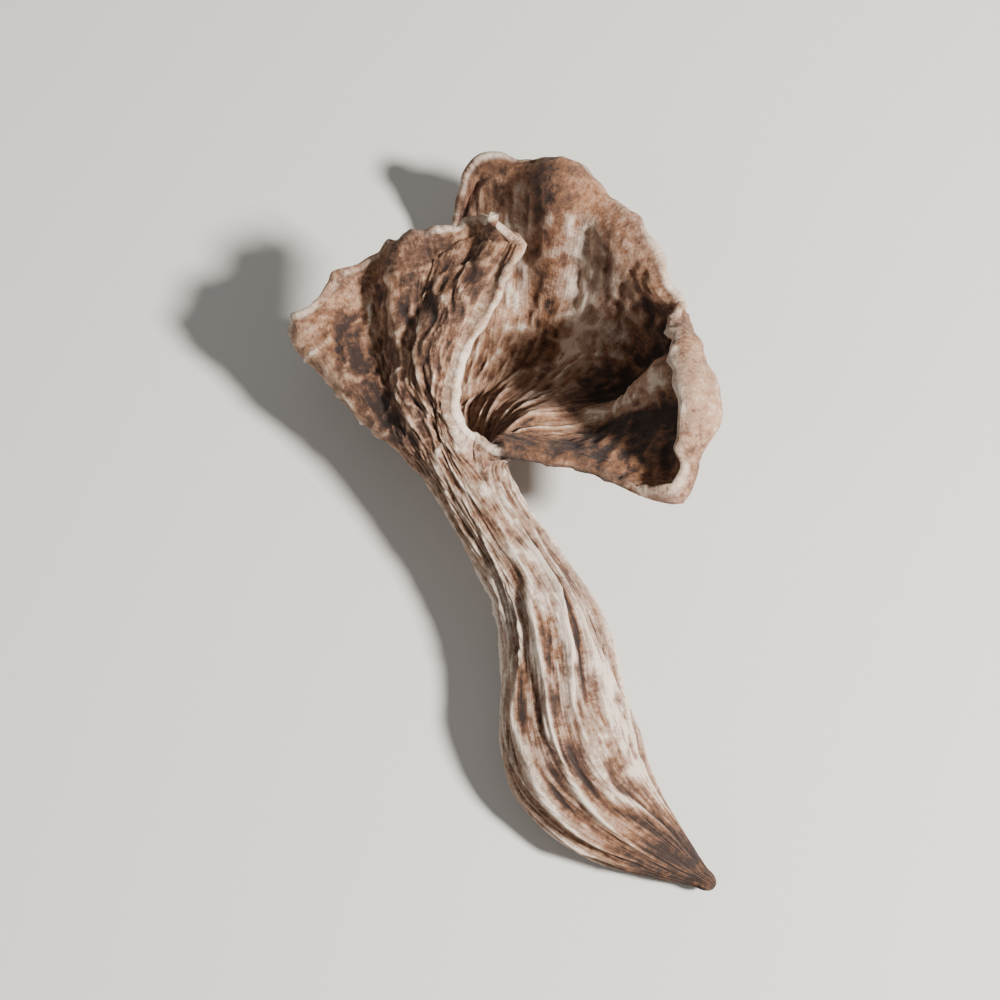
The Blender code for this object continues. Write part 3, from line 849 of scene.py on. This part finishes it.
def flesh_material():
    """Dry, leathery flesh: brown in the furrows, paler and dusty on ridges and at the lip, dark inside, with
    painted shade in the furrows and deep in the funnel and painted highlights on the ridges.
    """
    s = Shader("shown_flesh")
    inside, height, crest, painted_light_and_tint, along, around, lip = (
        s.field(name) for name in ("inside", "height", "crest", "painted_light_and_tint", "along", "around", "lip")
    )
    turn = s.math("MULTIPLY", around, 2 * math.pi)
    fibres = s.vector(
        s.math("MULTIPLY", s.math("COSINE", turn), FIBRE_SCALE_ROUND),
        s.math("MULTIPLY", s.math("SINE", turn), FIBRE_SCALE_ROUND),
        s.math("MULTIPLY", along, FIBRE_SCALE_ALONG),
    )
    place = s.tree.nodes.new("ShaderNodeTexCoord").outputs["Object"]
    streaks = s.noise(fibres, scale=4.0, detail=8.0, roughness=0.7)
    blotches = s.noise(place, scale=420.0, detail=7.0, roughness=0.7)
    specks = s.noise(place, scale=2800.0, detail=5.0, roughness=0.8)
    broad = s.noise(place, scale=120.0, detail=4.0, roughness=0.55)
    grains = (streaks, specks, blotches, broad)

    on_stem = s.math("MULTIPLY", s.ramp(along, 0.60, 0.42), s.ramp(along, 0.04, 0.22))
    dark_foot = s.ramp(along, 0.13, 0.0)
    # crest and height make ridges paler and furrows darker, partly the dust on the ridges and partly painted
    # highlight and painted shade
    tone = s.total(0.02, (crest, 0.44), (height, 0.52), (painted_light_and_tint, 1.0), (on_stem, 0.27), (dark_foot, -0.34))
    brown = s.mix(s.ramp(blotches, 0.35, 0.65), BROWN, RUST)
    greyer = s.math("MULTIPLY", s.ramp(broad, 0.36, 0.56), s.total(0.25, (on_stem, 0.75)))
    pale = s.mix(greyer, TAN, TAUPE)
    outer = flesh_colour(s, s.speckled(tone, grains, OUTER_GRAINS), OUTER_STEPS, brown, pale)

    # painted shade, darker deeper in the funnel towards the throat; crest and height here too are partly dust
    # and partly painted highlight and painted shade
    deep_shade = s.ramp(along, 0.60, 0.46)
    tone = s.total(0.27, (crest, 0.24), (height, 0.30), (painted_light_and_tint, 1.0), (deep_shade, -0.24))
    brown = s.mix(s.ramp(blotches, 0.35, 0.60), BROWN, RUST)
    pale = s.mix(s.ramp(broad, 0.52, 0.66), TAN, TAUPE)
    inner = flesh_colour(s, s.speckled(tone, grains, INNER_GRAINS), INNER_STEPS, brown, pale)

    # a dusty edge, broken up and left out where a stroke is dark
    edge = s.ramp(s.noise(place, scale=520.0, detail=6.0, roughness=0.75), 0.40, 0.64)
    edge = s.math("MULTIPLY", s.ramp(lip, 0.80, 1.0), edge)
    edge = s.math("MULTIPLY", edge, s.ramp(painted_light_and_tint, -0.45, -0.25))
    colour = s.mix(s.math("MULTIPLY", edge, EDGE_DUST), s.mix(inside, outer, inner), DUST_AND_HIGHLIGHT)
    s.put(s.principled.inputs["Base Color"], colour)

    s.put(s.principled.inputs["Roughness"], s.total(0.62, (specks, 0.3)))
    s.put(s.principled.inputs["Specular IOR Level"], 0.35)
    s.put(s.principled.inputs["Sheen Weight"], 0.06)
    s.put(s.principled.inputs["Sheen Roughness"], 0.5)
    bump = s.tree.nodes.new("ShaderNodeBump")
    s.put(bump.inputs["Strength"], 0.8)
    s.put(bump.inputs["Distance"], 0.22 * MM)
    s.put(bump.inputs["Height"], s.total(0.0, (specks, 0.7), (streaks, 0.9), (blotches, 0.6)))
    s.put(s.principled.inputs["Normal"], bump.outputs["Normal"])
    return s.material


def make_mushroom():
    points, faces, fields = shown_skin()
    points[:, 2] = np.maximum(points[:, 2], 0.0)
    mesh = bpy.data.meshes.new("trumpet_skin")
    mesh.from_pydata((points * MM).tolist(), [], faces.tolist())
    for name, values in fields.items():
        mesh.attributes.new(name, "FLOAT", "POINT").data.foreach_set("value", values.astype(np.float32))
    mesh.shade_smooth()
    mesh.materials.append(flesh_material())
    skin = bpy.data.objects.new("trumpet_skin", mesh)
    bpy.context.scene.collection.objects.link(skin)
    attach(skin, "root")
    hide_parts("black_trumpet")


def aim(item, target):
    """Turn a lamp or a camera towards the target."""
    item.rotation_euler = (Vector(target) - item.location).to_track_quat("-Z", "Y").to_euler()


def make_floor():
    bpy.ops.mesh.primitive_plane_add(size=2.0, location=(0.0, 0.0, 0.0))
    floor = bpy.context.object
    floor.name = "floor"
    material = bpy.data.materials.new("pale_floor")
    material.use_nodes = True
    shader = material.node_tree.nodes["Principled BSDF"]
    shader.inputs["Base Color"].default_value = (0.62, 0.60, 0.57, 1.0)
    shader.inputs["Roughness"].default_value = 0.8
    floor.data.materials.append(material)


def soft_light(name, location, size, power, colour, target):
    data = bpy.data.lights.new(name, "AREA")
    data.shape, data.size, data.energy, data.color = "DISK", size, power, colour
    lamp = bpy.data.objects.new(name, data)
    bpy.context.scene.collection.objects.link(lamp)
    lamp.location = location
    aim(lamp, target)


def make_lights():
    middle = (0.0, 0.0, 0.004)
    soft_light("key", (0.11, -0.045, 0.12), size=0.024, power=0.92, colour=(1.0, 0.97, 0.92), target=middle)
    soft_light("fill", (-0.14, -0.07, 0.12), size=0.12, power=0.06, colour=(0.92, 0.96, 1.0), target=middle)
    world = bpy.data.worlds.new("studio")
    bpy.context.scene.world = world
    world.use_nodes = True
    background = world.node_tree.nodes["Background"]
    background.inputs["Color"].default_value = (1.0, 0.98, 0.95, 1.0)
    background.inputs["Strength"].default_value = 0.24


def make_camera():
    """Looks down on the mushroom from the front, as steeply as it is seen."""
    data = bpy.data.cameras.new("camera")
    data.lens, data.sensor_width = 85.0, 36.0
    camera = bpy.data.objects.new("camera", data)
    bpy.context.scene.collection.objects.link(camera)
    rise, distance = math.radians(68.0), 0.092
    target = Vector((0.0, -0.0006, 0.0045))
    camera.location = target + distance * Vector((0.0, -math.cos(rise), math.sin(rise)))
    aim(camera, target)
    data.clip_start, data.clip_end = 0.002, 5.0
    bpy.context.scene.camera = camera


make_mushroom()
make_floor()
make_lights()
make_camera()
